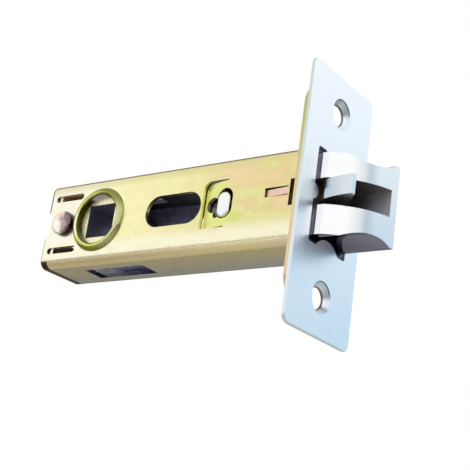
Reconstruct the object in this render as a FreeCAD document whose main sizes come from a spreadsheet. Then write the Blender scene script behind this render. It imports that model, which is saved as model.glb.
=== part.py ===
import FreeCAD, Part
import math
import os
import re

import Sketcher

# Tubular door latch. Millimetres, +Z up, +X out of the door edge.
# The origin is the centre of the faceplate's outer face.

# Driving dimensions. Distances back from the outer face are positive numbers.
SIZES = {
    # Faceplate
    "plate_width": 24.5,
    "plate_height": 58.0,
    "plate_thick": 0.7,
    "plate_corner": 1.8,
    "plate_edge": 0.25,
    "opening_lap": 0.4,
    "opening_end_lap": 0.25,
    "opening_corner": 0.6,
    "ledge_radius": 1.75,
    "ledge_lift": 0.3,
    "arch_width": 8.4,
    "arch_rise": 2.1,
    "screw_inset": 8.4,
    "screw_hole": 4.5,
    "countersink": 7.0,
    # Forend plate
    "forend_inset": 0.2,
    "forend_end_inset": 5.0,
    "forend_thick": 0.9,
    "forend_corner": 5.5,
    "forend_fit": 0.05,
    # Case
    "case_width": 15.0,
    "case_height": 21.5,
    "case_wall": 1.0,
    "case_bend": 2.2,
    "case_tail": 17.0,
    "backset": 60.0,
    "bead_margin": 0.85,
    "bead_section": 0.95,
    "fixing_gap": 0.3,
    "fixing_slot_length": 16.0,
    "fixing_slot_width": 7.6,
    "rear_slot_behind": 10.8,
    "rear_slot_length": 9.2,
    "rear_slot_width": 1.6,
    "rear_slot_spacing": 13.4,
    "notch_width": 7.0,
    "notch_depth": 1.3,
    "notch_slope": 0.9,
    "window_ahead": 3.0,
    "window_length": 17.8,
    "window_width": 5.8,
    "front_slot_land": 0.3,
    "front_slot_width": 1.2,
    "front_slot_height": 6.0,
    "front_slot_lift": 0.5,
    "flap_gap": 0.2,
    "flap_opening": 5.4,
    # Lanced tabs of the case, each bent in at its rear end
    "lance_gap": 0.25,
    "pad_ahead": 0.6,
    "pad_length": 6.6,
    "pad_height": 11.2,
    "pad_sink": 1.0,
    "pad_corner": 2.0,
    "tab_front": 6.2,
    "tab_length": 6.0,
    "tab_height": 2.1,
    "tab_lift": 1.0,
    "tab_sink": 0.6,
    # Cross-shaped opening in each lanced pad
    "lug_slot_width": 4.6,
    "lug_slot_height": 7.7,
    "key_round_behind": 3.35,
    "key_round_radius": 1.8,
    "key_drop_behind": 2.2,
    "key_drop_below": 2.3,
    "key_drop_radius": 0.9,
    # Bolt head
    "bolt_projection": 12.0,
    "bolt_travel": 11.0,
    "bolt_travel_spare": 0.8,
    "bolt_room": 0.7,
    "bolt_near_play": 0.3,
    "bolt_far_play": 0.4,
    "bevel_start": 2.0,
    "bevel_radius": 17.0,
    "tip_land": 0.5,
    "groove_radius": 7.8,
    "groove_depth": 1.5,
    "groove_shift": 0.3,
    "pocket_above": 0.2,
    "pocket_below": 1.4,
    "pocket_wall": 1.9,
    "channel_depth": 0.9,
    "bore_floor": 1.0,
    "spring_bore_depth": 4.0,
    # Tongue and its pin
    "pivot_back": 3.0,
    "pivot_side": 1.8,
    "tongue_height": 4.3,
    "tongue_lift": 0.95,
    "tongue_root_ahead": 0.7,
    "tongue_root_side": 4.7,
    "shoulder_ahead": 2.2,
    "shoulder_side": 5.85,
    "shoulder_radius": 2.0,
    "tongue_reach": 8.8,
    "tongue_proud": 6.75,
    "tongue_curve": 22.0,
    "tongue_tip": 1.05,
    "tongue_tip_lean": 0.15,
    "tongue_heel_ahead": 4.0,
    "tongue_heel_side": 0.5,
    "tongue_boss": 1.7,
    "boss_play": 0.3,
    "pin_radius": 1.0,
    "pin_play": 0.05,
    "pin_sink": 0.3,
    # Drawbars
    "bar_thick": 1.2,
    "bar_width": 9.0,
    "bar_room": 2.85,
    "bar_land": 0.4,
    "bar_end_spare": 0.7,
    "bar_tail_gap": 1.0,
    "bar_tail_play": 0.7,
    "bar_corner": 2.0,
    "bar_fit": 0.1,
    "bar_slot_length": 8.0,
    "bar_slot_play": 0.3,
    "bar_rivet_margin": 0.2,
    "bar_rivet_radius": 1.5,
    "bar_rivet_head": 2.6,
    "bar_rivet_rise": 0.6,
    "bar_rivet_depth": 1.5,
    # Follower
    "barrel_shoulder": 0.5,
    "barrel_play": 0.2,
    "journal_wall": 0.27,
    "journal_play": 0.05,
    "journal_recess": 0.8,
    "spindle_square": 8.1,
    "horn_overlap": 0.8,
    "horn_nose": 0.8,
    "horn_lean": 37.5,
    "horn_thick": 4.8,
    "horn_gap": 0.3,
    # Rear rivet and spacer
    "rivet_behind": 11.2,
    "rivet_radius": 2.0,
    "rivet_head": 3.0,
    "rivet_rise": 1.4,
    "rivet_round": 0.6,
    "rivet_fit": 0.05,
    "spacer_wall": 1.15,
    # Spring seat
    "seat_length": 7.0,
    "seat_play": 0.3,
    "seat_floor": 1.2,
    "lug_behind": 1.1,
    "lug_width": 3.4,
    "lug_recess": 0.4,
    "lug_round": 0.6,
    # Bolt spring
    "spring_wire": 0.8,
    "spring_outside": 8.2,
    "spring_play": 0.5,
    "spring_turns": 8.0,
}

# Sizes and places that follow from the driving dimensions
DERIVED = {
    "opening_width": "case_width - 2 * opening_lap",
    "opening_height": "case_height - 2 * opening_end_lap",
    "screw_spacing": "plate_height - 2 * screw_inset",
    "screw_cone": "countersink / 2 - plate_thick",
    "forend_width": "plate_width - 2 * forend_inset",
    "forend_height": "plate_height - 2 * forend_end_inset",
    "case_end": "backset + case_tail",
    "flap_width": "case_width - 2 * case_bend - 2 * flap_gap",
    "rear_slot_at": "backset + rear_slot_behind",
    "rivet_at": "backset + rivet_behind",
    "window_at": "backset - window_ahead",
    "front_slot_at": "tab_front - front_slot_land - front_slot_width / 2",
    "pocket_back": "pivot_back + tongue_boss + boss_play",
    "pocket_height": "tongue_height + pocket_above + pocket_below",
    "pocket_lift": "tongue_lift + (pocket_above - pocket_below) / 2",
    "bolt_back": "pocket_back + bore_floor + spring_bore_depth",
    "bolt_height": "case_height - 2 * case_wall - 2 * bolt_room",
    "bolt_near": "case_width / 2 - case_wall - bolt_near_play",
    "bolt_far": "case_width / 2 - case_wall - bolt_far_play",
    "bar_seat": "case_height / 2 - case_wall - bar_room",
    "bar_front": "pivot_back + pin_radius + bar_land",
    "bar_end": "case_end - case_wall - bolt_travel - bar_end_spare",
    "bar_tail_front": "bolt_back + bar_tail_gap",
    "bar_tail_width": "case_width - 2 * case_wall - 2 * bar_tail_play",
    "bar_rivet_at": "bar_front + bar_rivet_margin + bar_rivet_head",
    "pin_length": "2 * bar_seat - 2 * pin_sink",
    "seat_front": "bolt_back + bolt_travel + bolt_travel_spare",
    "seat_back": "seat_front + seat_length",
    "seat_width": "case_width - 2 * case_wall - 2 * pad_sink - 2 * seat_play",
    "seat_height": "2 * bar_seat - 2 * seat_play",
    "lug_slot_at": "seat_front + lug_behind",
    "pad_front": "lug_slot_at - pad_ahead",
    "key_round_at": "lug_slot_at + key_round_behind",
    "key_drop_at": "lug_slot_at + key_drop_behind",
    "fixing_slot_at": "pad_front + pad_length + fixing_gap + fixing_slot_length / 2",
    "spring_bore": "spring_outside + 2 * spring_play",
    "journal_radius": "spindle_square * sqrt(2) / 2 + journal_wall",
    "barrel_radius": "journal_radius + barrel_shoulder",
    "bead_ring": "journal_radius + bead_margin",
    "horn_reach": "(bar_seat + horn_overlap) / cos(horn_lean)",
    "horn_contact": "backset - bar_seat * tan(horn_lean) + horn_nose / cos(horn_lean) + horn_gap",
    "spacer_radius": "rivet_radius + rivet_fit + spacer_wall",
}

doc = FreeCAD.newDocument("tubular_latch")
sheet = doc.addObject("Spreadsheet::Sheet", "Sizes")
for row, (size_name, size) in enumerate(SIZES.items(), 1):
    sheet.set(f"A{row}", size_name)
    sheet.set(f"B{row}", str(size))
    sheet.setAlias(f"B{row}", size_name)
doc.recompute()

SIZE_WORD = re.compile(r"\b[a-z]+_[a-z_]+\b|\bbackset\b|\bcountersink\b")


def in_sheet(expression):
    """The expression with each size name turned into a reference to its cell."""

    def cell(word):
        name = word.group()
        return f"({in_sheet(DERIVED[name])})" if name in DERIVED else f"Sizes.{name}"

    return SIZE_WORD.sub(cell, expression)


def value(expression):
    """The number that an expression of size names gives."""
    return float(sheet.evalExpression(in_sheet(expression)))


def bind(item, prop, expression):
    item.setExpression(prop, in_sheet(expression))


def new_body(label):
    body = doc.addObject("PartDesign::Body", label)
    body.Label = label
    return body


def place(body, back="0", side="0", up="0"):
    """Put a body at a distance back from the outer face, to the far side and up."""
    bind(body, "Placement.Base.x", f"-({back})")
    bind(body, "Placement.Base.y", side)
    bind(body, "Placement.Base.z", up)


def origin_plane(body, role):
    return next(feature for feature in body.Origin.OriginFeatures if feature.Role == role)


def sketch_on(body, name, role, shift="0"):
    """A sketch on an origin plane of the body, moved along the plane's normal."""
    sketch = body.newObject("Sketcher::SketchObject", name)
    sketch.AttachmentSupport = [(origin_plane(body, role), "")]
    sketch.MapMode = "FlatFace"
    bind(sketch, "AttachmentOffset.Base.z", shift)
    return sketch


def dimension(sketch, kind, arguments, expression):
    """A driving constraint whose value comes from the sheet."""
    index = sketch.addConstraint(Sketcher.Constraint(kind, *arguments, value(expression)))
    name = f"{kind}{index}"
    sketch.renameConstraint(index, name)
    bind(sketch, f"Constraints.{name}", expression)


def pin_point(sketch, geometry, end, point):
    """Hold a point of the sketch at its two expressions."""
    for kind, axis, expression in (("DistanceX", -2, point[0]), ("DistanceY", -1, point[1])):
        if expression == "0":
            sketch.addConstraint(Sketcher.Constraint("PointOnObject", geometry, end, axis))
        else:
            dimension(sketch, kind, (-1, 1, geometry, end), expression)


def arc_through(start, end, radius):
    """The short arc from start to end; a positive radius turns left, a negative one right."""
    chord = end - start
    middle = (start + end) * 0.5
    left = FreeCAD.Vector(-chord.y, chord.x, 0).normalize()
    rise = abs(radius) - math.sqrt(max(radius ** 2 - chord.Length ** 2 / 4, 0))
    return Part.Arc(start, middle - left * math.copysign(rise, radius), end)


def outline(sketch, points, arcs=None):
    """A closed outline through points, straight but for the sides that arcs gives a radius."""
    arcs = arcs or {}
    spots = [FreeCAD.Vector(value(x), value(y), 0) for x, y in points]
    ends = []
    for number, start in enumerate(spots):
        finish = spots[(number + 1) % len(spots)]
        if number in arcs:
            radius = value(arcs[number])
            geometry = sketch.addGeometry(arc_through(start, finish, radius))
            first, last = (1, 2) if radius > 0 else (2, 1)
        else:
            geometry = sketch.addGeometry(Part.LineSegment(start, finish))
            first, last = 1, 2
        ends.append((geometry, first, last))
    for number, (geometry, first, last) in enumerate(ends):
        following = ends[(number + 1) % len(ends)]
        sketch.addConstraint(Sketcher.Constraint("Coincident", geometry, last, following[0], following[1]))
    for number, (geometry, first, last) in enumerate(ends):
        pin_point(sketch, geometry, first, points[number])
        if number in arcs:
            dimension(sketch, "Radius", (geometry,), f"abs({arcs[number]})")


def rectangle(sketch, low_x, high_x, low_y, high_y):
    outline(sketch, [(low_x, low_y), (high_x, low_y), (high_x, high_y), (low_x, high_y)])


def circle(sketch, across, up, radius):
    spot = FreeCAD.Vector(value(across), value(up), 0)
    geometry = sketch.addGeometry(Part.Circle(spot, FreeCAD.Vector(0, 0, 1), value(radius)))
    pin_point(sketch, geometry, 3, (across, up))
    dimension(sketch, "Radius", (geometry,), radius)


def obround(sketch, across, up, length, width):
    """A round-ended slot that runs along the sketch's first axis."""
    half = f"(({length}) - ({width})) / 2"
    low, high = f"{across} - {half}", f"{across} + {half}"
    bottom, top = f"{up} - ({width}) / 2", f"{up} + ({width}) / 2"
    x0, x1, y0, y1 = (value(edge) for edge in (low, high, bottom, top))
    radius = value(f"({width}) / 2")
    middle = value(up)
    spot = FreeCAD.Vector
    low_left, low_right, high_right, high_left = spot(x0, y0), spot(x1, y0), spot(x1, y1), spot(x0, y1)
    lower = sketch.addGeometry(Part.LineSegment(low_left, low_right))
    right = sketch.addGeometry(Part.Arc(low_right, spot(x1 + radius, middle), high_right))
    upper = sketch.addGeometry(Part.LineSegment(high_right, high_left))
    left = sketch.addGeometry(Part.Arc(high_left, spot(x0 - radius, middle), low_left))
    loop = [lower, right, upper, left]
    for number, geometry in enumerate(loop):
        following = loop[(number + 1) % len(loop)]
        sketch.addConstraint(Sketcher.Constraint("Coincident", geometry, 2, following, 1))
    pin_point(sketch, lower, 1, (low, bottom))
    pin_point(sketch, upper, 1, (high, top))
    dimension(sketch, "DistanceX", (-1, 1, lower, 2), high)
    sketch.addConstraint(Sketcher.Constraint("Horizontal", lower))
    sketch.addConstraint(Sketcher.Constraint("Horizontal", upper))
    dimension(sketch, "DistanceX", (-1, 1, right, 3), high)
    dimension(sketch, "DistanceX", (-1, 1, left, 3), low)
    dimension(sketch, "DistanceX", (-1, 1, upper, 2), low)


def upright(sketch, across, width, height):
    """A slot with rounded top and bottom, centred on the sketch's first axis."""
    low, high = f"{across} - {width} / 2", f"{across} + {width} / 2"
    straight = f"({height} - {width}) / 2"
    outline(
        sketch,
        [(low, f"-{straight}"), (high, f"-{straight}"), (high, straight), (low, straight)],
        {0: f"{width} * 0.505", 2: f"{width} * 0.505"},
    )


def pad(body, sketch, length, both_ways=False, backwards=False):
    feature = body.newObject("PartDesign::Pad", f"{sketch.Name}_pad")
    feature.Profile = sketch
    bind(feature, "Length", length)
    feature.Midplane = both_ways
    feature.Reversed = backwards
    doc.recompute()
    return feature


def cut(body, sketch, length=None, both_ways=True, backwards=False):
    """A pocket, through everything unless it has a length, that has to take something away."""
    before = body.Shape.Volume
    feature = body.newObject("PartDesign::Pocket", f"{sketch.Name}_cut")
    feature.Profile = sketch
    if length is None:
        feature.Type = "ThroughAll"
    else:
        bind(feature, "Length", length)
    feature.Midplane = both_ways
    feature.Reversed = backwards
    doc.recompute()
    if not body.Shape.Volume < before:
        raise RuntimeError(f"{feature.Name} cuts nothing")
    return feature


def round_edges(body, radius, wanted):
    """Fillet the edges of the body that wanted picks."""
    base = body.Tip
    names = [f"Edge{number}" for number, edge in enumerate(base.Shape.Edges, 1) if wanted(edge)]
    feature = body.newObject("PartDesign::Fillet", f"{base.Name}_round")
    feature.Base = (base, names)
    bind(feature, "Radius", radius)
    doc.recompute()
    return feature


def runs_along(edge, axis):
    """Whether an edge is straight and parallel to an axis, given as 0, 1 or 2 for X, Y or Z."""
    if edge.Curve.TypeId != "Part::GeomLine":
        return False
    return abs(abs(edge.Curve.Direction[axis]) - 1) < 1e-6


def is_near(edge, axis, spots):
    """Whether the middle of an edge is at one of the spots along an axis."""
    return any(abs(edge.CenterOfMass[axis] - spot) < 1e-3 for spot in spots)


def frustum(body, name, low, high, length, up):
    """A conical hole along X at a height, from the low radius at its depth to the high one in front."""
    cone = body.newObject("PartDesign::SubtractiveCone", name)
    cone.AttachmentSupport = [(origin_plane(body, "YZ_Plane"), "")]
    cone.MapMode = "FlatFace"
    bind(cone, "Radius1", low)
    bind(cone, "Radius2", high)
    bind(cone, "Height", length)
    bind(cone, "AttachmentOffset.Base.y", up)
    bind(cone, "AttachmentOffset.Base.z", f"-({length})")
    doc.recompute()


def bolt_opening(sketch):
    """The opening for the bolt: guide arches above and below, a half-round ledge on the near side."""
    half_width, half_height = "opening_width / 2", "opening_height / 2"
    arch = "(arch_width * arch_width / 4 + arch_rise * arch_rise) / (2 * arch_rise)"
    points = [
        (f"-{half_width}", f"-{half_height}"),
        ("-arch_width / 2", f"-{half_height}"),
        ("arch_width / 2", f"-{half_height}"),
        (half_width, f"-{half_height}"),
        (half_width, half_height),
        ("arch_width / 2", half_height),
        ("-arch_width / 2", half_height),
        (f"-{half_width}", half_height),
        (f"-{half_width}", "ledge_lift + ledge_radius * 0.99"),
        (f"-{half_width}", "ledge_lift - ledge_radius * 0.99"),
    ]
    outline(sketch, points, {1: f"-({arch})", 5: f"-({arch})", 8: "-ledge_radius"})


def make_faceplate():
    body = new_body("faceplate")
    blank = sketch_on(body, "plate_outline", "YZ_Plane")
    rectangle(blank, "-plate_width / 2", "plate_width / 2", "-plate_height / 2", "plate_height / 2")
    pad(body, blank, "plate_thick", backwards=True)
    round_edges(body, "plate_corner", lambda edge: runs_along(edge, 0))
    round_edges(body, "plate_edge", lambda edge: is_near(edge, 0, (0,)))
    opening = sketch_on(body, "plate_opening", "YZ_Plane")
    bolt_opening(opening)
    cut(body, opening)
    corners = (value("-opening_width / 2"), value("opening_width / 2"))
    ends = (value("-opening_height / 2"), value("opening_height / 2"))
    round_edges(
        body,
        "opening_corner",
        lambda edge: runs_along(edge, 0) and is_near(edge, 1, corners) and is_near(edge, 2, ends),
    )
    for name, spot in (("upper_screw", "screw_spacing / 2"), ("lower_screw", "-screw_spacing / 2")):
        frustum(body, name, "screw_cone", "countersink / 2", "plate_thick", spot)


def make_forend_plate():
    body = new_body("forend_plate")
    place(body, back="plate_thick")
    blank = sketch_on(body, "forend_outline", "YZ_Plane")
    rectangle(blank, "-forend_width / 2", "forend_width / 2", "-forend_height / 2", "forend_height / 2")
    pad(body, blank, "forend_thick", backwards=True)
    round_edges(body, "forend_corner", lambda edge: runs_along(edge, 0))
    mouth = sketch_on(body, "forend_mouth", "YZ_Plane")
    half_width, half_height = "(case_width / 2 + forend_fit)", "(case_height / 2 + forend_fit)"
    rectangle(mouth, f"-{half_width}", half_width, f"-{half_height}", half_height)
    cut(body, mouth)
    corners = (value(f"-{half_width}"), value(half_width))
    round_edges(
        body,
        "case_bend + forend_fit",
        lambda edge: runs_along(edge, 0) and is_near(edge, 1, corners),
    )
    holes = sketch_on(body, "forend_screws", "YZ_Plane")
    circle(holes, "0", "screw_spacing / 2", "screw_hole / 2")
    circle(holes, "0", "-screw_spacing / 2", "screw_hole / 2")
    cut(body, holes)
    for name, spot in (("upper_cone", "screw_spacing / 2"), ("lower_cone", "-screw_spacing / 2")):
        frustum(body, name, "screw_hole / 2", "screw_cone", "screw_cone - screw_hole / 2", spot)


def make_case_tube(body):
    """The folded tube, open at both ends."""
    outside = sketch_on(body, "case_outside", "YZ_Plane", "-plate_thick")
    rectangle(outside, "-case_width / 2", "case_width / 2", "-case_height / 2", "case_height / 2")
    pad(body, outside, "case_end - plate_thick", backwards=True)
    round_edges(body, "case_bend", lambda edge: runs_along(edge, 0))
    inside = sketch_on(body, "case_inside", "YZ_Plane")
    half_width, half_height = "(case_width / 2 - case_wall)", "(case_height / 2 - case_wall)"
    rectangle(inside, f"-{half_width}", half_width, f"-{half_height}", half_height)
    cut(body, inside)
    corners = (value(f"-{half_width}"), value(half_width))
    round_edges(
        body,
        "case_bend - case_wall",
        lambda edge: runs_along(edge, 0) and is_near(edge, 1, corners),
    )


def add_beads(body):
    """The rolled bead round the follower's bearing hole, on both sides."""
    for name, shift in (("near_bead", "case_width / 2"), ("far_bead", "-case_width / 2")):
        bead = body.newObject("PartDesign::AdditiveTorus", name)
        bead.AttachmentSupport = [(origin_plane(body, "XZ_Plane"), "")]
        bead.MapMode = "FlatFace"
        bind(bead, "Radius1", "bead_ring")
        bind(bead, "Radius2", "bead_section")
        bind(bead, "AttachmentOffset.Base.x", "-backset")
        bind(bead, "AttachmentOffset.Base.z", shift)
        doc.recompute()


def cut_side_holes(body):
    """Bearing, rivet hole, fixing slot and front slot in both side walls, rear slots in the near one."""
    holes = sketch_on(body, "side_holes", "XZ_Plane")
    circle(holes, "-backset", "0", "journal_radius + journal_play")
    circle(holes, "-rivet_at", "0", "rivet_radius + rivet_fit")
    obround(holes, "-fixing_slot_at", "0", "fixing_slot_length", "fixing_slot_width")
    rectangle(
        holes,
        "-front_slot_at - front_slot_width / 2",
        "-front_slot_at + front_slot_width / 2",
        "front_slot_lift - front_slot_height / 2",
        "front_slot_lift + front_slot_height / 2",
    )
    cut(body, holes)
    slots = sketch_on(body, "rear_slots", "XZ_Plane")
    for up in ("rear_slot_spacing / 2", "-rear_slot_spacing / 2"):
        obround(slots, "-rear_slot_at", up, "rear_slot_length", "rear_slot_width")
    cut(body, slots, both_ways=False, backwards=True)
    notch = sketch_on(body, "rear_notch", "XZ_Plane")
    outline(
        notch,
        [
            ("-case_end", "-notch_width / 2"),
            ("notch_depth - case_end", "notch_slope - notch_width / 2"),
            ("notch_depth - case_end", "notch_width / 2 - notch_slope"),
            ("-case_end", "notch_width / 2"),
        ],
    )
    cut(body, notch)


def fold_rear_flaps(body):
    """The flaps of the top and bottom walls, folded in sharply behind the rear rivet."""
    edge, fold = "flap_opening / 2", "(case_height - case_wall) / 2"
    for name, low, high in (("upper_flap", edge, fold), ("lower_flap", f"-{fold}", f"-{edge}")):
        flap = sketch_on(body, name, "XZ_Plane")
        rectangle(flap, "-case_end", "case_wall - case_end", low, high)
        pad(body, flap, "flap_width", both_ways=True)


def round_pad_corner(body, rear, top):
    """Round the upper rear corner of the pads or of their windows."""
    corner = (value(rear), value(top))
    round_edges(
        body,
        "pad_corner",
        lambda edge: runs_along(edge, 1) and is_near(edge, 0, corner[:1]) and is_near(edge, 2, corner[1:]),
    )


def add_lanced_pads(body):
    """The pads lanced out of both side walls and bent in at the rear, with their cross-shaped openings."""
    windows = sketch_on(body, "pad_windows", "XZ_Plane")
    rectangle(windows, "-pad_front - pad_length", "-pad_front", "-pad_height / 2", "pad_height / 2")
    cut(body, windows)
    for name, sign in (("near_pad", "-1"), ("far_pad", "1")):
        pad_plan = sketch_on(body, name, "XY_Plane")
        back = "lance_gap - pad_front - pad_length"
        outline(
            pad_plan,
            [
                ("-pad_front", f"{sign} * case_width / 2"),
                (back, f"{sign} * (case_width / 2 - pad_sink)"),
                (back, f"{sign} * (case_width / 2 - pad_sink - case_wall)"),
                ("-pad_front", f"{sign} * (case_width / 2 - case_wall)"),
            ],
        )
        pad(body, pad_plan, "pad_height - 2 * lance_gap", both_ways=True)
    round_pad_corner(body, "lance_gap - pad_front - pad_length", "pad_height / 2 - lance_gap")
    round_pad_corner(body, "-pad_front - pad_length", "pad_height / 2")
    slot = sketch_on(body, "lug_slot", "XZ_Plane")
    upright(slot, "-lug_slot_at", "lug_slot_width", "lug_slot_height")
    cut(body, slot)
    for name, across, up, radius in (
        ("key_round", "-key_round_at", "0", "key_round_radius"),
        ("key_drop", "-key_drop_at", "-key_drop_below", "key_drop_radius"),
    ):
        hole = sketch_on(body, name, "XZ_Plane")
        circle(hole, across, up, radius)
        cut(body, hole)


def add_guide_tab(body):
    """The small tab lanced out of the near wall, which guides the bolt in its channel."""
    window = sketch_on(body, "tab_window", "XZ_Plane")
    low, high = "tab_lift - tab_height / 2", "tab_lift + tab_height / 2"
    rectangle(window, "-tab_front - tab_length", "-tab_front", low, high)
    cut(body, window, both_ways=False, backwards=True)
    tab_plan = sketch_on(body, "guide_tab", "XY_Plane", "tab_lift")
    back = "lance_gap - tab_front - tab_length"
    outline(
        tab_plan,
        [
            ("-tab_front", "-case_width / 2"),
            (back, "tab_sink - case_width / 2"),
            (back, "tab_sink + case_wall - case_width / 2"),
            ("-tab_front", "case_wall - case_width / 2"),
        ],
    )
    pad(body, tab_plan, "tab_height - 2 * lance_gap", both_ways=True)


def make_case_shell():
    body = new_body("case_shell")
    make_case_tube(body)
    add_beads(body)
    cut_side_holes(body)
    windows = sketch_on(body, "horn_windows", "XY_Plane")
    rectangle(
        windows,
        "-window_at - window_length / 2",
        "-window_at + window_length / 2",
        "-window_width / 2",
        "window_width / 2",
    )
    cut(body, windows)
    fold_rear_flaps(body)
    add_lanced_pads(body)
    add_guide_tab(body)


def make_bolt_head():
    body = new_body("bolt_head")
    plan = sketch_on(body, "bolt_plan", "XY_Plane")
    outline(
        plan,
        [
            ("-bolt_back", "-bolt_near"),
            ("bevel_start", "-bolt_near"),
            ("bolt_projection", "bolt_far - tip_land"),
            ("bolt_projection", "bolt_far"),
            ("-bolt_back", "bolt_far"),
        ],
        {1: "bevel_radius"},
    )
    pad(body, plan, "bolt_height", both_ways=True)
    grooves = sketch_on(body, "bolt_grooves", "YZ_Plane")
    middle = "(bolt_height / 2 - groove_depth + groove_radius)"
    circle(grooves, "groove_shift", middle, "groove_radius")
    circle(grooves, "groove_shift", f"-{middle}", "groove_radius")
    cut(body, grooves)
    pocket = sketch_on(body, "tongue_pocket", "XY_Plane", "pocket_lift")
    channel = "channel_depth - bolt_near"
    floor = "bolt_far - pocket_wall"
    clear = "-bolt_near - channel_depth"
    outline(
        pocket,
        [
            ("-bolt_back - channel_depth", clear),
            ("bolt_projection + channel_depth", clear),
            ("bolt_projection + channel_depth", floor),
            ("-pocket_back", floor),
            ("-pocket_back", channel),
            ("-bolt_back - channel_depth", channel),
        ],
    )
    cut(body, pocket, "pocket_height")
    bore = sketch_on(body, "bolt_spring_bore", "YZ_Plane", "-bolt_back")
    circle(bore, "0", "0", "spring_bore / 2")
    cut(body, bore, "spring_bore_depth", both_ways=False, backwards=True)
    seats = sketch_on(body, "bar_seats", "XZ_Plane")
    for low, high in (("bar_seat", "bolt_height"), ("-bolt_height", "-bar_seat")):
        rectangle(seats, "-bolt_back - bar_fit", "bar_fit - bar_front", low, high)
    cut(body, seats, "bar_width + 2 * bar_fit")
    pivot = sketch_on(body, "pivot_hole", "XY_Plane")
    circle(pivot, "-pivot_back", "-pivot_side", "pin_radius")
    cut(body, pivot)
    bottom = "(bar_seat - bar_rivet_depth)"
    rivet_holes = (("upper_rivet_hole", bottom, True), ("lower_rivet_hole", f"-{bottom}", False))
    for name, shift, upwards in rivet_holes:
        hole = sketch_on(body, name, "XY_Plane", shift)
        circle(hole, "-bar_rivet_at", "0", "bar_rivet_radius")
        cut(body, hole, both_ways=False, backwards=upwards)


def make_tongue():
    body = new_body("anti_friction_tongue")
    place(body, back="pivot_back", side="-pivot_side", up="tongue_lift")
    blade = sketch_on(body, "tongue_blade", "XY_Plane")
    tip_x, tip_y = "pivot_back + tongue_reach", "pivot_side - tongue_proud"
    outline(
        blade,
        [
            ("0", "-tongue_boss"),
            ("pivot_back + tongue_root_ahead", "pivot_side - tongue_root_side"),
            ("pivot_back + shoulder_ahead", "pivot_side - shoulder_side"),
            (tip_x, tip_y),
            (f"{tip_x} + tongue_tip_lean", f"{tip_y} + tongue_tip"),
            ("pivot_back + tongue_heel_ahead", "pivot_side - tongue_heel_side"),
            ("0", "tongue_boss"),
        ],
        {1: "shoulder_radius", 2: "tongue_curve"},
    )
    pad(body, blade, "tongue_height", both_ways=True)
    boss = sketch_on(body, "tongue_boss_ring", "XY_Plane")
    circle(boss, "0", "0", "tongue_boss")
    pad(body, boss, "tongue_height", both_ways=True)
    bore = sketch_on(body, "tongue_bore", "XY_Plane")
    circle(bore, "0", "0", "pin_radius + pin_play")
    cut(body, bore)


def make_turned(label, points, arcs=None):
    """A piece turned about its own Z axis, from the outline of half its section."""
    body = new_body(label)
    profile = sketch_on(body, f"{label}_profile", "XZ_Plane")
    outline(profile, points, arcs)
    turned = body.newObject("PartDesign::Revolution", f"{label}_turned")
    turned.Profile = profile
    turned.ReferenceAxis = (profile, ["V_Axis"])
    turned.Angle = 360
    doc.recompute()
    return body


def make_tongue_pin():
    half = "pin_length / 2"
    body = make_turned(
        "tongue_pin",
        [("0", f"-{half}"), ("pin_radius", f"-{half}"), ("pin_radius", half), ("0", half)],
    )
    place(body, back="pivot_back", side="-pivot_side")


def make_drawbar(label, up, flip):
    """A strap above or below the fixing slot, wide behind the bolt, with a slot for the follower's horn."""
    body = new_body(label)
    place(body, up=up)
    strap = sketch_on(body, f"{label}_strap", "XY_Plane")
    outline(
        strap,
        [
            ("-bar_end", "-bar_tail_width / 2"),
            ("-bar_tail_front", "-bar_tail_width / 2"),
            ("-bar_tail_front", "-bar_width / 2"),
            ("-bar_front", "-bar_width / 2"),
            ("-bar_front", "bar_width / 2"),
            ("-bar_tail_front", "bar_width / 2"),
            ("-bar_tail_front", "bar_tail_width / 2"),
            ("-bar_end", "bar_tail_width / 2"),
        ],
    )
    pad(body, strap, "bar_thick", backwards=flip)
    round_edges(
        body,
        "bar_corner",
        lambda edge: runs_along(edge, 2) and is_near(edge, 0, (value("-bar_end"),)),
    )
    slot = sketch_on(body, f"{label}_slot", "XY_Plane")
    half = "(horn_thick / 2 + bar_slot_play)"
    rectangle(slot, "-horn_contact", "bar_slot_length - horn_contact", f"-{half}", half)
    cut(body, slot)
    hole = sketch_on(body, f"{label}_rivet_hole", "XY_Plane")
    circle(hole, "-bar_rivet_at", "0", "bar_rivet_radius")
    cut(body, hole)


def make_drawbar_rivet(label, up, sign):
    top = f"{sign} * (bar_thick)"
    body = make_turned(
        label,
        [
            ("0", f"{sign} * (-bar_rivet_depth)"),
            ("bar_rivet_radius", f"{sign} * (-bar_rivet_depth)"),
            ("bar_rivet_radius", top),
            ("bar_rivet_head", top),
            ("bar_rivet_head", f"{top} + {sign} * bar_rivet_rise"),
            ("0", f"{top} + {sign} * bar_rivet_rise"),
        ],
    )
    place(body, back="bar_rivet_at", up=up)


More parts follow.
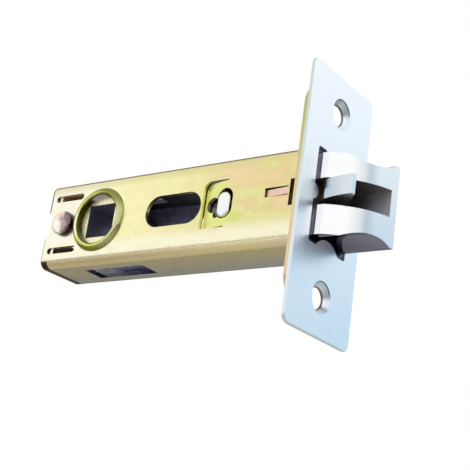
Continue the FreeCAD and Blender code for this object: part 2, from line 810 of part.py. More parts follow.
def make_follower():
    body = new_body("follower")
    place(body, back="backset")
    barrel = sketch_on(body, "follower_barrel", "XZ_Plane")
    circle(barrel, "0", "0", "barrel_radius")
    pad(body, barrel, "case_width - 2 * case_wall - 2 * barrel_play", both_ways=True)
    journals = sketch_on(body, "follower_journals", "XZ_Plane")
    circle(journals, "0", "0", "journal_radius")
    pad(body, journals, "case_width - 2 * journal_recess", both_ways=True)
    across = "horn_nose * cos(horn_lean)"
    along = "horn_nose * sin(horn_lean)"
    tip_x, tip_z = "horn_reach * sin(horn_lean)", "horn_reach * cos(horn_lean)"
    root_x, root_z = "barrel_radius * 0.9 * sin(horn_lean)", "barrel_radius * 0.9 * cos(horn_lean)"
    for name, sign, turn in (("upper_horn", "1", "-"), ("lower_horn", "-1", "")):
        horn = sketch_on(body, name, "XZ_Plane")
        outline(
            horn,
            [
                (f"{root_x} - {across}", f"{sign} * ({root_z} + {along})"),
                (f"{tip_x} - {across}", f"{sign} * ({tip_z} + {along})"),
                (f"{tip_x} + {across}", f"{sign} * ({tip_z} - {along})"),
                (f"{root_x} + 3 * ({across})", f"{sign} * ({root_z} - 3 * ({along}))"),
            ],
            {1: f"{turn}horn_nose * 1.001"},
        )
        pad(body, horn, "horn_thick", both_ways=True)
    square = sketch_on(body, "spindle_hole", "XZ_Plane")
    half = "spindle_square / 2"
    rectangle(square, f"-{half}", half, f"-{half}", half)
    cut(body, square)


def lay_across(body):
    """Turn a piece made about Z so that its axis lies across the case."""
    body.Placement = FreeCAD.Placement(FreeCAD.Vector(), FreeCAD.Rotation(FreeCAD.Vector(1, 0, 0), 90))


def make_rear_rivet():
    face, crown = "case_width / 2", "(case_width / 2 + rivet_rise)"
    flat = "rivet_head - rivet_round"
    body = make_turned(
        "rear_rivet",
        [
            ("0", f"-{crown}"),
            (flat, f"-{crown}"),
            ("rivet_head", f"rivet_round - {crown}"),
            ("rivet_head", f"-{face}"),
            ("rivet_radius", f"-{face}"),
            ("rivet_radius", face),
            ("rivet_head", face),
            ("rivet_head", f"{crown} - rivet_round"),
            (flat, crown),
            ("0", crown),
        ],
        {1: "rivet_round", 7: "rivet_round"},
    )
    lay_across(body)
    place(body, back="rivet_at")


def make_rear_spacer():
    half = "(case_width / 2 - case_wall)"
    inner = "rivet_radius + rivet_fit"
    body = make_turned(
        "rear_spacer",
        [(inner, f"-{half}"), ("spacer_radius", f"-{half}"), ("spacer_radius", half), (inner, half)],
    )
    lay_across(body)
    place(body, back="rivet_at")


def make_spring_seat():
    body = new_body("spring_seat")
    block = sketch_on(body, "seat_block", "YZ_Plane", "-seat_back")
    rectangle(block, "-seat_width / 2", "seat_width / 2", "-seat_height / 2", "seat_height / 2")
    pad(body, block, "seat_length")
    lugs = sketch_on(body, "seat_lugs", "XZ_Plane")
    rear = "-lug_slot_at - lug_slot_width / 2"
    upright(lugs, f"{rear} + lug_width / 2", "lug_width", "(lug_slot_height - lug_slot_width + lug_width)")
    pad(body, lugs, "case_width - 2 * lug_recess", both_ways=True)
    ends = (value("case_width / 2 - lug_recess"), value("lug_recess - case_width / 2"))
    round_edges(body, "lug_round", lambda edge: is_near(edge, 1, ends))
    cup = sketch_on(body, "seat_cup", "YZ_Plane", "seat_floor - seat_back")
    circle(cup, "0", "0", "spring_bore / 2")
    cut(body, cup, both_ways=False, backwards=True)


def make_bolt_spring():
    body = new_body("bolt_spring")
    start = "(seat_floor - seat_back + spring_wire / 2)"
    finish = "(spring_bore_depth - bolt_back - spring_wire / 2)"
    section = sketch_on(body, "spring_section", "XZ_Plane")
    circle(section, start, "(spring_outside - spring_wire) / 2", "spring_wire / 2")
    coil = body.newObject("PartDesign::AdditiveHelix", "spring_coil")
    coil.Profile = section
    coil.ReferenceAxis = (section, ["H_Axis"])
    coil.Mode = "height-turns-angle"
    bind(coil, "Height", f"{finish} - {start}")
    bind(coil, "Turns", "spring_turns")
    doc.recompute()


make_faceplate()
make_forend_plate()
make_case_shell()
make_bolt_head()
make_tongue()
make_tongue_pin()
make_drawbar("drawbar_upper", "bar_seat", False)
make_drawbar("drawbar_lower", "-bar_seat", True)
make_drawbar_rivet("drawbar_rivet_upper", "bar_seat", "1")
make_drawbar_rivet("drawbar_rivet_lower", "-bar_seat", "-1")
make_follower()
make_rear_rivet()
make_rear_spacer()
make_spring_seat()
make_bolt_spring()

doc.recompute()
for item in doc.Objects:
    if "Invalid" in item.State or "Error" in item.State:
        raise RuntimeError(f"{item.Label} did not recompute")
pieces = [item for item in doc.Objects if item.TypeId == "PartDesign::Body"]
for piece in pieces:
    if piece.Shape.isNull() or not piece.Shape.isValid() or len(piece.Shape.Solids) != 1:
        raise RuntimeError(f"{piece.Label} has no valid shape")

os.makedirs("parts", exist_ok=True)
for piece in pieces:
    piece.Shape.exportStep(f"parts/{piece.Label}.step")
    print(f"{piece.Label}: {len(piece.Shape.Solids)} solid, {piece.Shape.Volume:.1f} mm3")
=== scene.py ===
import math

import bpy
from mathutils import Matrix, Vector


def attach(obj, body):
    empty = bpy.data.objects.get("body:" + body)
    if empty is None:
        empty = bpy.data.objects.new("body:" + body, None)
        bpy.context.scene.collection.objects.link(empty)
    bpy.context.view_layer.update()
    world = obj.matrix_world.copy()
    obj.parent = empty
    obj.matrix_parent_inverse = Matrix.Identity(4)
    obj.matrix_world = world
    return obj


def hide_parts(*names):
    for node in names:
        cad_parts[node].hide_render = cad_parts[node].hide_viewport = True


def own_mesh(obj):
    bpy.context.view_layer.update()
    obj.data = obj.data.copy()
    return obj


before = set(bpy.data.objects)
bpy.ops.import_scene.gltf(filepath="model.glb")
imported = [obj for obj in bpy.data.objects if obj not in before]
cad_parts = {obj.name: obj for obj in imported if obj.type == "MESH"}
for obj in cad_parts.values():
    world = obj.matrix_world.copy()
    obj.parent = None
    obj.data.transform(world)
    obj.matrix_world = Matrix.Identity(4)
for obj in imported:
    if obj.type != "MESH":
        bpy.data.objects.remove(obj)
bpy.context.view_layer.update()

MM = 0.001

# Camera that took the photograph, found from the corners of the plate and case
IMAGE_PIXELS = 470
VIEW_AZIMUTH = math.radians(38.508)
VIEW_ELEVATION = math.radians(-18.856)
VIEW_ROLL = math.radians(8.065)
VIEW_DISTANCE = 235.41 * MM
VIEW_SHIFT = Vector((20.29 * MM, 6.5 * MM))
FOCAL_PIXELS = 1124.3
SENSOR_WIDTH = 36.0

# Floor, soft light of the room, and directions of the walls that the metal mirrors
FLOOR_HEIGHT = -160 * MM
FLOOR_SIZE = 4.0
SOFT_LEVEL = 0.27
WALL_AHEAD = (0.88, 0.20, 0.42)
WALL_BEYOND = (0.55, 0.75, 0.36)
WALL_NEAR = (-0.15, -0.95, 0.28)

# Places on the part that the finishes follow, in millimetres like the places of a Metal
BOLT_REACH = 12.0
POCKET_Z = (-2.62, 3.32)
POCKET_FLOOR = 4.2
SCREW_OFFSET = 20.6
COUNTERSINK_RADIUS = 3.5
FOREND_BACK = -1.6
TAB_X = (-12.0, -6.3)
TAB_Z = (0.15, 1.85)
PAD_X = (-28.7, -22.4)
PAD_Z = (-5.4, 5.4)
WINDOW_X = (-66.0, -48.0)
BACKSET = 60.0
SPINDLE_HALF = 4.05
FOLLOWER_FACE = 6.7
BEAD_INNER = 6.0
BEAD_OUTER = 7.8
BEAD_SPAN = 2.0
RIVET_TOP = 8.9
DRAWBAR_FACE = 8.1
CASE_REAR = -77.0

WHITE = (1.0, 1.0, 1.0)
# Painted shade for faces hidden inside the lock and for cut edges
PAINTED_SHADE_DARK = (0.19, 0.18, 0.25)

# Yellow zinc passivate, which shifts between green, gold and pink
CLOUDS = [
    (0.28, (0.68, 0.72, 0.20)),
    (0.40, (0.86, 0.82, 0.40)),
    (0.50, (0.76, 0.66, 0.29)),
    (0.60, (0.93, 0.66, 0.42)),
    (0.72, (0.80, 0.78, 0.28)),
]

# Bead from its inner to its outer slope, as parts of BEAD_SPAN: painted shade on the inner slope, a
# painted highlight on the crest, and dark olive zinc on the outer slope
BEAD = [
    (0.02, (0.05, 0.045, 0.004)),
    (0.15, (0.06, 0.055, 0.005)),
    (0.27, (0.80, 0.86, 0.30)),
    (0.42, (0.66, 0.72, 0.08)),
    (0.58, (0.26, 0.27, 0.04)),
    (0.88, (0.20, 0.21, 0.03)),
]

# Clouds on the rivet's head
RIVET = [
    (0.40, (1.0, 0.98, 0.90)),
    (0.54, (1.0, 0.90, 0.80)),
    (0.68, (0.84, 0.60, 0.55)),
]


class Graph:
    """Short calls for the nodes of one material or world."""

    def __init__(self, owner):
        owner.use_nodes = True
        self.tree = owner.node_tree
        self.nodes = self.tree.nodes

    def feed(self, socket, source):
        """Give a socket a number, a colour, a vector or the output of another node."""
        if isinstance(source, bpy.types.NodeSocket):
            self.tree.links.new(source, socket)
        elif isinstance(source, tuple) and len(source) == 3 and socket.type == "RGBA":
            socket.default_value = (*source, 1)
        else:
            socket.default_value = source

    def math(self, operation, first, second=0.0):
        node = self.nodes.new("ShaderNodeMath")
        node.operation = operation
        self.feed(node.inputs[0], first)
        self.feed(node.inputs[1], second)
        return node.outputs[0]

    def absolute(self, value):
        return self.math("ABSOLUTE", value)

    def vector_math(self, operation, first, second):
        node = self.nodes.new("ShaderNodeVectorMath")
        node.operation = operation
        self.feed(node.inputs[0], first)
        self.feed(node.inputs[1], second)
        return node.outputs["Value"] if operation == "DOT_PRODUCT" else node.outputs["Vector"]

    def split(self, vector):
        node = self.nodes.new("ShaderNodeSeparateXYZ")
        self.feed(node.inputs[0], vector)
        return tuple(node.outputs)

    def from_axis(self, first, second):
        """The distance from an axis, given the two offsets across it."""
        squares = self.math("ADD", self.math("POWER", first, 2.0), self.math("POWER", second, 2.0))
        return self.math("SQRT", squares)

    def ramp(self, value, low, high, start=0.0, end=1.0):
        """A smooth step from start at low to end at high, where low may be the greater."""
        node = self.nodes.new("ShaderNodeMapRange")
        node.interpolation_type = "SMOOTHSTEP"
        self.feed(node.inputs["Value"], value)
        self.feed(node.inputs["From Min"], low)
        self.feed(node.inputs["From Max"], high)
        self.feed(node.inputs["To Min"], start)
        self.feed(node.inputs["To Max"], end)
        return node.outputs["Result"]

    def band(self, value, low, high, soft):
        """1 between low and high, falling to 0 over a soft edge outside them."""
        rise = self.ramp(value, low - soft, low)
        fall = self.ramp(value, high, high + soft, 1.0, 0.0)
        return self.math("MULTIPLY", rise, fall)

    def all_of(self, *masks):
        """1 where every mask is 1."""
        result = masks[0]
        for mask in masks[1:]:
            result = self.math("MULTIPLY", result, mask)
        return result

    def mix(self, factor, first, second):
        """The first colour at factor 0, the second at factor 1."""
        node = self.nodes.new("ShaderNodeMix")
        node.data_type = "RGBA"
        self.feed(node.inputs["Factor"], factor)
        self.feed(node.inputs[6], first)
        self.feed(node.inputs[7], second)
        return node.outputs[2]

    def noise(self, vector, stretch, detail=2.0, roughness=0.5):
        """Noise over a vector, at so many ripples per unit along each axis."""
        node = self.nodes.new("ShaderNodeTexNoise")
        self.feed(node.inputs["Vector"], self.vector_math("MULTIPLY", vector, stretch))
        self.feed(node.inputs["Scale"], 1.0)
        self.feed(node.inputs["Detail"], detail)
        self.feed(node.inputs["Roughness"], roughness)
        return node.outputs["Fac"]

    def colours(self, value, stops):
        """A colour ramp through (place, colour) stops."""
        node = self.nodes.new("ShaderNodeValToRGB")
        node.color_ramp.interpolation = "B_SPLINE"
        elements = node.color_ramp.elements
        while len(elements) < len(stops):
            elements.new(0.5)
        for element, (place, colour) in zip(elements, stops):
            element.position = place
            element.color = (*colour, 1)
        self.feed(node.inputs["Fac"], value)
        return node.outputs["Color"]

    def bump(self, height, strength, distance):
        node = self.nodes.new("ShaderNodeBump")
        self.feed(node.inputs["Height"], height)
        node.inputs["Strength"].default_value = strength
        node.inputs["Distance"].default_value = distance
        return node.outputs["Normal"]


class Metal(Graph):
    """A metal whose colour and gloss vary over the piece; places are in millimetres."""

    def __init__(self, name, metallic=1.0):
        self.material = bpy.data.materials.new(name)
        super().__init__(self.material)
        self.shader = self.nodes["Principled BSDF"]
        self.shader.inputs["Metallic"].default_value = metallic
        place = self.nodes.new("ShaderNodeTexCoord").outputs["Object"]
        self.place = self.vector_math("MULTIPLY", place, (1000, 1000, 1000))
        self.normal = self.nodes.new("ShaderNodeNewGeometry").outputs["Normal"]
        self.x, self.y, self.z = self.split(self.place)
        _, self.facing_y, self.facing_z = self.split(self.normal)

    def passivate(self):
        """The clouded colours of yellow zinc passivate, drawn out along the case."""
        return self.colours(self.noise(self.place, (0.085, 0.16, 0.16), 3.0), CLOUDS)

    def paint_shade_where(self, colour, mask):
        """The colour, with painted shade on hidden faces and cut edges where the mask is 1."""
        return self.mix(mask, colour, PAINTED_SHADE_DARK)

    def gloss(self, pattern, low, high):
        """Roughness that follows a noise pattern between two levels."""
        return self.ramp(pattern, 0.2, 0.8, low, high)

    def finish(self, colour, roughness, normal=None):
        self.feed(self.shader.inputs["Base Color"], colour)
        self.feed(self.shader.inputs["Roughness"], roughness)
        if normal is not None:
            self.feed(self.shader.inputs["Normal"], normal)
        return self.material


def add_camera():
    """A camera at the photograph's viewing angle, from below and ahead of the faceplate."""
    back = Vector(
        (
            math.sin(VIEW_AZIMUTH) * math.cos(VIEW_ELEVATION),
            -math.cos(VIEW_AZIMUTH) * math.cos(VIEW_ELEVATION),
            math.sin(VIEW_ELEVATION),
        )
    )
    right = Vector((0, 0, 1)).cross(back).normalized()
    up = back.cross(right)
    turn, lean = math.cos(VIEW_ROLL), math.sin(VIEW_ROLL)
    rolled_right = turn * right + lean * up
    rolled_up = turn * up - lean * right
    place = VIEW_DISTANCE * back - VIEW_SHIFT.x * rolled_right - VIEW_SHIFT.y * rolled_up
    data = bpy.data.cameras.new("photo_camera")
    data.sensor_width = SENSOR_WIDTH
    data.lens = FOCAL_PIXELS * SENSOR_WIDTH / IMAGE_PIXELS
    camera = bpy.data.objects.new("photo_camera", data)
    axes = Matrix((rolled_right, rolled_up, back)).transposed().to_4x4()
    camera.matrix_world = Matrix.Translation(place) @ axes
    bpy.context.scene.collection.objects.link(camera)
    bpy.context.scene.camera = camera


def add_world():
    """White behind the object; what the metal mirrors is a dim room with pale walls on three sides."""
    world = bpy.data.worlds.new("studio")
    graph = Graph(world)
    bpy.context.scene.world = world
    background = graph.nodes["Background"]
    rays = graph.nodes.new("ShaderNodeLightPath").outputs
    way = graph.nodes.new("ShaderNodeTexCoord").outputs["Generated"]

    def wall(axis, edge, full):
        return graph.ramp(graph.vector_math("DOT_PRODUCT", way, axis), edge, full)

    # A pale wall ahead, one beyond the face that turns blue below, and a white one on the near side
    low = graph.ramp(graph.split(way)[2], 0.25, 0.42, 1.0, 0.0)
    beyond = graph.mix(low, (1.05, 1.06, 1.09), (0.46, 0.70, 0.89))
    room = graph.mix(wall(WALL_AHEAD, 0.25, 0.70), (0.13, 0.12, 0.11), (0.54, 0.64, 0.72))
    room = graph.mix(wall(WALL_BEYOND, 0.35, 0.70), room, beyond)
    room = graph.mix(wall(WALL_NEAR, 0.15, 0.36), room, WHITE)
    seen = graph.math("MAXIMUM", rays["Is Camera Ray"], rays["Is Transmission Ray"])
    soft = graph.mix(rays["Is Glossy Ray"], (SOFT_LEVEL, SOFT_LEVEL, SOFT_LEVEL), room)
    graph.feed(background.inputs["Color"], graph.mix(seen, soft, WHITE))


def add_lamp(name, place, target, size, power):
    """A square lamp that lights the scene but isn't seen, also not as a reflection."""
    data = bpy.data.lights.new(name, "AREA")
    data.energy = power
    data.size = size
    lamp = bpy.data.objects.new(name, data)
    lamp.location = place
    lamp.rotation_euler = (Vector(target) - Vector(place)).to_track_quat("-Z", "Y").to_euler()
    lamp.visible_camera = False
    lamp.visible_glossy = False
    bpy.context.scene.collection.objects.link(lamp)


def add_floor():
    half = FLOOR_SIZE / 2
    corners = [(-half, -half, 0), (half, -half, 0), (half, half, 0), (-half, half, 0)]
    mesh = bpy.data.meshes.new("floor")
    mesh.from_pydata(corners, [], [(0, 1, 2, 3)])
    floor = bpy.data.objects.new("floor", mesh)
    floor.location.z = FLOOR_HEIGHT
    bpy.context.scene.collection.objects.link(floor)
    material = bpy.data.materials.new("floor_paper")
    graph = Graph(material)
    place = graph.nodes.new("ShaderNodeTexCoord").outputs["Object"]
    grain = graph.noise(place, (9, 9, 9), 4.0)
    shader = graph.nodes["Principled BSDF"]
    graph.feed(shader.inputs["Base Color"], graph.mix(grain, (0.50, 0.50, 0.49), (0.56, 0.56, 0.55)))
    shader.inputs["Roughness"].default_value = 0.9
    # Paler for the camera, and white where the paper runs out
    across, along, _ = graph.split(place)
    paler = graph.ramp(graph.from_axis(across, along), 0.3, 1.7, 0.36, 0.86)
    camera_ray = graph.nodes.new("ShaderNodeLightPath").outputs["Is Camera Ray"]
    graph.feed(shader.inputs["Emission Color"], WHITE)
    graph.feed(shader.inputs["Emission Strength"], graph.math("MULTIPLY", camera_ray, paler))
    mesh.materials.append(material)


def side_colour(metal, clouds, rear):
    """The case's sides: paler to the rear and along the low edge, with painted shade under the upper bend.
    """
    colour = metal.mix(rear, clouds, (1.0, 0.97, 0.54))
    colour = metal.mix(metal.ramp(metal.x, -50.0, -66.0, 0.0, 0.8), colour, (1.0, 0.98, 0.86))
    low_band = metal.ramp(metal.z, -4.0, -7.5, 0.0, 0.8)
    colour = metal.mix(low_band, colour, (1.0, 0.97, 0.74))
    # Painted shade under the upper bend
    painted_bend_shade = metal.ramp(metal.z, 7.2, 9.2, 0.0, 0.6)
    return metal.mix(painted_bend_shade, colour, (0.72, 0.64, 0.30))


def under_colour(metal, colour, clouds, rear):
    """The colour, with a gold lower bend and a gold to grey-olive bottom, both pinker near the plates."""
    pink = metal.ramp(metal.x, -15.0, -5.0, 0.0, 0.4)
    bend = metal.mix(rear, (1.0, 0.86, 0.47), (0.67, 0.51, 0.27))
    bend = metal.mix(pink, bend, (1.0, 0.74, 0.66))
    colour = metal.mix(metal.ramp(metal.facing_z, -0.15, -0.55), colour, bend)
    far = metal.ramp(metal.y, -5.0, 5.5)
    gold = metal.mix(rear, (1.0, 0.83, 0.38), (1.0, 0.80, 0.50))
    bottom = metal.mix(far, gold, (0.70, 0.69, 0.50))
    bottom = metal.mix(0.35, bottom, metal.mix(far, clouds, (0.66, 0.62, 0.58)))
    bottom = metal.mix(pink, bottom, (1.0, 0.70, 0.62))
    return metal.mix(metal.ramp(metal.facing_z, -0.70, -0.97), colour, bottom)


def bead_colour_and_light(metal, from_hub):
    """The bead round the bearing hole: painted shade on the inner slope, a painted highlight on the crest
    and an olive outer slope.
    """
    across = metal.math("DIVIDE", metal.math("SUBTRACT", from_hub, BEAD_INNER), BEAD_SPAN)
    colour = metal.colours(across, BEAD)
    front = metal.ramp(metal.x, -60.0, -54.0, 0.0, 0.65)
    colour = metal.mix(front, colour, (0.74, 0.70, 0.40))
    # Painted shade on the upper part of the bead towards the front
    shade = metal.all_of(metal.ramp(metal.z, 1.5, 5.0), metal.ramp(metal.x, -63.0, -57.5, 0.0, 0.8))
    colour = metal.mix(shade, colour, (0.18, 0.20, 0.015))
    # Painted highlight on the crest at the bead's rear side, around its middle height
    shine = metal.all_of(
        metal.ramp(metal.x, -64.5, -66.0, 0.0, 0.9),
        metal.band(metal.z, -4.0, 1.0, 2.0),
        metal.band(from_hub, 6.45, 6.8, 0.1),
    )
    return metal.mix(shine, colour, (1.0, 1.0, 0.85))


def rear_colour(metal, colour):
    """The colour, with a dark burr on the near side's rear edge and painted shade on the fold of the lower
    rear flap.
    """
    burr = metal.all_of(
        metal.ramp(metal.x, CASE_REAR + 0.45, CASE_REAR + 0.25),
        metal.math("MAXIMUM", metal.ramp(metal.z, 2.5, 3.5), metal.ramp(metal.z, -3.0, -4.0, 0.0, 0.4)),
        metal.ramp(metal.facing_y, -0.6, -0.8),
    )
    colour = metal.mix(burr, colour, (0.10, 0.10, 0.12))
    # Painted shade on the fold of the lower rear flap
    fold_shade = metal.all_of(
        metal.ramp(metal.x, CASE_REAR + 2.2, CASE_REAR + 1.7),
        metal.ramp(metal.facing_z, -0.25, -0.4),
    )
    return metal.mix(fold_shade, colour, (0.05, 0.03, 0.015))


def inside_colour(metal, colour):
    """The colour, with a dull inside that is brown at the rear, and painted shade on the front end and the
    window's cut edges.
    """
    off_axis = metal.vector_math("MULTIPLY", metal.place, (0, 1, 1))
    outward = metal.vector_math("DOT_PRODUCT", off_axis, metal.normal)
    inside = metal.ramp(outward, -4.2, -5.0)
    metal.feed(metal.shader.inputs["Metallic"], metal.ramp(outward, -4.2, -5.0, 1.0, 0.3))
    colour = metal.mix(inside, colour, (0.60, 0.57, 0.78))
    brown = metal.mix(metal.ramp(metal.z, -4.0, -6.0), (1.0, 0.70, 0.38), (0.84, 0.90, 1.0))
    colour = metal.mix(metal.all_of(inside, metal.ramp(metal.x, -64.0, -65.5)), colour, brown)
    # Painted shade on the front end behind the forend plate
    colour = metal.paint_shade_where(colour, metal.ramp(metal.x, -1.2, -0.9))
    # Painted shade on the cut edges of the bottom window
    window = metal.all_of(
        metal.band(metal.x, *WINDOW_X, 0.05),
        metal.ramp(metal.absolute(metal.y), 2.98, 2.94),
        metal.ramp(metal.absolute(metal.z), 9.3, 9.6),
    )
    return metal.paint_shade_where(colour, window)


def case_material():
    metal = Metal("case_zinc")
    clouds = metal.passivate()
    rear = metal.ramp(metal.x, -10.0, -58.0, 0.0, 0.88)
    colour = side_colour(metal, clouds, rear)
    colour = under_colour(metal, colour, clouds, rear)
    from_hub = metal.from_axis(metal.math("ADD", metal.x, BACKSET), metal.z)
    bead = metal.band(from_hub, BEAD_INNER, BEAD_OUTER, 0.3)
    colour = metal.mix(bead, colour, bead_colour_and_light(metal, from_hub))
    # Lanced pads and guide tab
    pad = metal.all_of(metal.band(metal.x, *PAD_X, 0.1), metal.band(metal.z, *PAD_Z, 0.1))
    colour = metal.mix(metal.math("MULTIPLY", pad, 0.85), colour, (0.80, 0.84, 0.28))
    tab = metal.all_of(metal.band(metal.x, *TAB_X, 0.1), metal.band(metal.z, *TAB_Z, 0.1))
    colour = metal.mix(tab, colour, (0.86, 0.60, 0.47))
    # Fine mottling of the plating
    grain = metal.noise(metal.place, (0.35, 0.7, 0.7), 2.5)
    colour = metal.mix(metal.ramp(grain, 0.40, 0.75, 0.0, 0.09), colour, (0.66, 0.58, 0.26))
    colour = inside_colour(metal, rear_colour(metal, colour))
    # The bead is the glossiest part
    roughness = metal.math("SUBTRACT", metal.gloss(grain, 0.22, 0.32), metal.math("MULTIPLY", bead, 0.12))
    return metal.finish(colour, roughness, metal.bump(grain, 0.007, 0.0002))


def above_screw(metal):
    """The height over the axis of the nearer screw hole."""
    screw = metal.math("MULTIPLY", metal.math("SIGN", metal.z), SCREW_OFFSET)
    return metal.math("SUBTRACT", metal.z, screw)


def forend_material():
    metal = Metal("forend_zinc")
    upper = metal.ramp(metal.z, -8.0, 20.0)
    tint = metal.mix(upper, (0.80, 0.56, 0.40), (0.40, 0.42, 0.14))
    colour = metal.mix(0.7, metal.passivate(), tint)
    # Bare steel in the countersunk holes, with painted shade at their back
    from_screw = metal.from_axis(metal.y, above_screw(metal))
    hole = metal.all_of(
        metal.ramp(from_screw, 3.2, 2.9),
        metal.ramp(metal.x, FOREND_BACK + 0.03, FOREND_BACK + 0.10),
    )
    bare_and_shade = metal.mix(metal.ramp(metal.x, -1.05, -1.20), (0.95, 0.97, 0.99), (0.17, 0.18, 0.21))
    colour = metal.mix(hole, colour, bare_and_shade)
    grain = metal.noise(metal.place, (2.0, 2.0, 2.0), 4.0)
    return metal.finish(colour, metal.gloss(grain, 0.26, 0.38))


def faceplate_material():
    metal = Metal("face_satin")
    streaks = metal.noise(metal.place, (1.0, 2.2, 0.06), 3.0, 0.55)
    clouds = metal.noise(metal.place, (0.1, 0.1, 0.05))
    colour = metal.mix(metal.ramp(streaks, 0.3, 0.7), (0.95, 0.975, 0.99), WHITE)
    colour = metal.mix(metal.math("MULTIPLY", clouds, 0.2), colour, (0.88, 0.94, 1.0))
    # Duller cut edge on the near side, greener towards the top
    cut = metal.mix(metal.ramp(metal.z, -20.0, 15.0), (0.80, 0.88, 0.92), (0.66, 0.74, 0.66))
    colour = metal.mix(metal.ramp(metal.facing_y, -0.5, -0.9), colour, cut)
    # Bluish countersinks with a line of painted shade at the top of their rims
    above = above_screw(metal)
    from_screw = metal.from_axis(metal.y, above)
    dish = metal.ramp(from_screw, COUNTERSINK_RADIUS + 0.05, COUNTERSINK_RADIUS - 0.05)
    colour = metal.mix(dish, colour, (0.82, 0.91, 1.0))
    ring = metal.band(from_screw, COUNTERSINK_RADIUS - 0.16, COUNTERSINK_RADIUS, 0.05)
    colour = metal.mix(metal.all_of(ring, metal.ramp(above, 0.3, 2.0)), colour, (0.20, 0.24, 0.32))
    roughness = metal.ramp(streaks, 0.25, 0.75, 0.34, 0.42)
    return metal.finish(colour, roughness, metal.bump(streaks, 0.012, 0.0002))


def bolt_material():
    metal = Metal("bolt_nickel")
    haze = metal.noise(metal.place, (0.25, 0.25, 0.25), 3.0)
    colour = metal.mix(haze, (0.96, 0.97, 0.98), WHITE)
    # Greyer tip
    colour = metal.mix(metal.ramp(metal.x, 6.0, 8.5), colour, (0.76, 0.81, 0.84))
    # Painted shade on the grooves above and below, darkest near the face, and on the end inside the case
    groove_shade = metal.mix(metal.ramp(metal.x, 0.0, BOLT_REACH), (0.20, 0.19, 0.23), (0.31, 0.30, 0.37))
    colour = metal.mix(metal.ramp(metal.absolute(metal.facing_z), 0.25, 0.45), colour, groove_shade)
    colour = metal.paint_shade_where(colour, metal.ramp(metal.x, -0.3, -0.9))
    # Dull cast walls of the tongue's pocket
    pocket = metal.all_of(
        metal.band(metal.z, *POCKET_Z, 0.02),
        metal.ramp(metal.y, POCKET_FLOOR + 0.06, POCKET_FLOOR + 0.02),
    )
    colour = metal.mix(pocket, colour, (0.50, 0.46, 0.46))
    roughness = metal.math("ADD", metal.gloss(haze, 0.08, 0.15), metal.math("MULTIPLY", pocket, 0.3))
    return metal.finish(colour, roughness)


def tongue_material():
    metal = Metal("tongue_nickel")
    streaks = metal.noise(metal.place, (5.0, 5.0, 0.4), 3.0)
    colour = metal.mix(streaks, (0.66, 0.74, 0.79), (0.78, 0.85, 0.89))
    # Painted shade on the root, which stays in the bolt's pocket
    colour = metal.paint_shade_where(colour, metal.ramp(metal.x, 0.7, 0.2))
    return metal.finish(colour, metal.gloss(streaks, 0.24, 0.34))


def follower_material():
    metal = Metal("follower_zinc", 0.4)
    colour = metal.mix(0.7, metal.passivate(), (1.0, 0.95, 0.64))
    # Painted shade on the wall of the square spindle hole and on the barrel inside the case
    hub_x = metal.absolute(metal.math("ADD", metal.x, BACKSET))
    square = metal.math("MAXIMUM", hub_x, metal.absolute(metal.z))
    colour = metal.paint_shade_where(colour, metal.ramp(square, SPINDLE_HALF + 0.05, SPINDLE_HALF + 0.02))
    barrel = metal.ramp(metal.absolute(metal.y), FOLLOWER_FACE - 0.1, FOLLOWER_FACE - 0.3)
    colour = metal.paint_shade_where(colour, barrel)
    grain = metal.noise(metal.place, (2.0, 2.0, 2.0), 4.0)
    return metal.finish(colour, metal.gloss(grain, 0.24, 0.36))


def rivet_material():
    metal = Metal("rivet_zinc")
    clouds = metal.noise(metal.place, (0.42, 0.42, 0.42), 3.0)
    colour = metal.colours(clouds, RIVET)
    # Purple zinc towards the front, deepened by a painted reflection of the bead beside it, with a ragged
    # border, and painted shade on the side
    ragged = metal.math("ADD", metal.x, metal.math("MULTIPLY", clouds, 4.0))
    colour = metal.mix(metal.ramp(ragged, -70.0, -67.2, 0.0, 0.94), colour, (0.19, 0.10, 0.12))
    side = metal.ramp(metal.absolute(metal.y), RIVET_TOP - 0.32, RIVET_TOP - 0.50)
    colour = metal.mix(side, colour, (0.04, 0.025, 0.02))
    return metal.finish(colour, metal.gloss(clouds, 0.14, 0.24))


def drawbar_material():
    metal = Metal("drawbar_steel", 0.25)
    clouds = metal.noise(metal.place, (0.4, 0.9, 0.9), 4.0)
    colour = metal.mix(clouds, (0.74, 0.84, 0.95), (0.90, 0.95, 1.0))
    # Painted shade on all but the face that shows in the window
    drawbar_shade = metal.ramp(metal.absolute(metal.z), DRAWBAR_FACE - 0.02, DRAWBAR_FACE - 0.08)
    colour = metal.mix(drawbar_shade, colour, (0.06, 0.06, 0.08))
    return metal.finish(colour, metal.gloss(clouds, 0.45, 0.6))


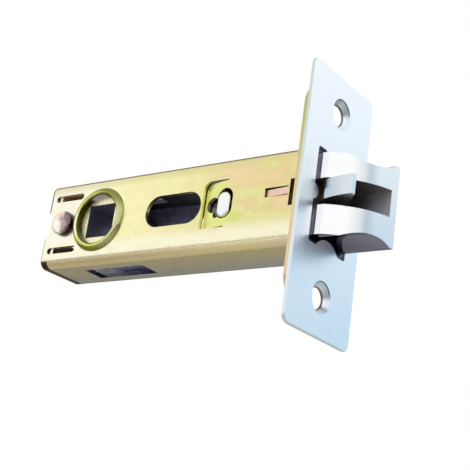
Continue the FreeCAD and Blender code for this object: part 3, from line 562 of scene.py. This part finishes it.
def seat_material():
    metal = Metal("seat_bright")
    clouds = metal.noise(metal.place, (0.6, 0.6, 0.6), 4.0)
    colour = metal.mix(clouds, (0.86, 0.88, 0.90), (0.97, 0.98, 0.98))
    # Painted shade on all but the lugs in the sides of the case
    colour = metal.paint_shade_where(colour, metal.ramp(metal.absolute(metal.y), 5.5, 5.3))
    return metal.finish(colour, metal.gloss(clouds, 0.2, 0.32))


def steel_material(name, dark, light, low, high):
    """Plain steel, clouded between two colours and two roughnesses."""
    metal = Metal(name)
    clouds = metal.noise(metal.place, (0.4, 0.9, 0.9), 4.0)
    return metal.finish(metal.mix(clouds, dark, light), metal.gloss(clouds, low, high))


def add_coil():
    """The bolt's spring, as its own copy of the part's mesh, held by the case."""
    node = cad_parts["bolt_spring"]
    coil = bpy.data.objects.new("coil_spring", node.data.copy())
    coil.matrix_world = node.matrix_world
    bpy.context.scene.collection.objects.link(coil)
    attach(coil, "case")
    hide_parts("bolt_spring")
    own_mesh(coil)


add_camera()
add_world()
add_floor()
# A key lamp, and one each for the floor that the case's lower bend and the screw holes mirror
add_lamp("key", (-0.22, -0.34, 0.42), (0, 0, 0), 0.4, 2.2)
add_lamp("floor_near", (-0.34, -0.46, 0.25), (-0.34, -0.44, FLOOR_HEIGHT), 0.3, 1.95)
add_lamp("floor_far", (0.08, 0.22, 0.12), (0.08, 0.22, FLOOR_HEIGHT), 0.25, 0.6)

inner_steel = steel_material("inner_steel", (0.50, 0.56, 0.64), (0.66, 0.70, 0.76), 0.2, 0.34)
drawbar = drawbar_material()
MATERIALS = {
    "faceplate": faceplate_material(),
    "forend_plate": forend_material(),
    "case_shell": case_material(),
    "bolt_head": bolt_material(),
    "anti_friction_tongue": tongue_material(),
    "follower": follower_material(),
    "rear_rivet": rivet_material(),
    "rear_spacer": steel_material("spacer_brown", (0.09, 0.05, 0.03), (0.18, 0.11, 0.06), 0.3, 0.45),
    "spring_seat": seat_material(),
    "drawbar_upper": drawbar,
    "drawbar_lower": drawbar,
    "bolt_spring": steel_material("spring_steel", (0.05, 0.05, 0.06), (0.12, 0.12, 0.13), 0.26, 0.4),
}
for node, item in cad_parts.items():
    item.data.materials.clear()
    item.data.materials.append(MATERIALS.get(node, inner_steel))
add_coil()

bpy.context.scene.view_settings.view_transform = "Standard"
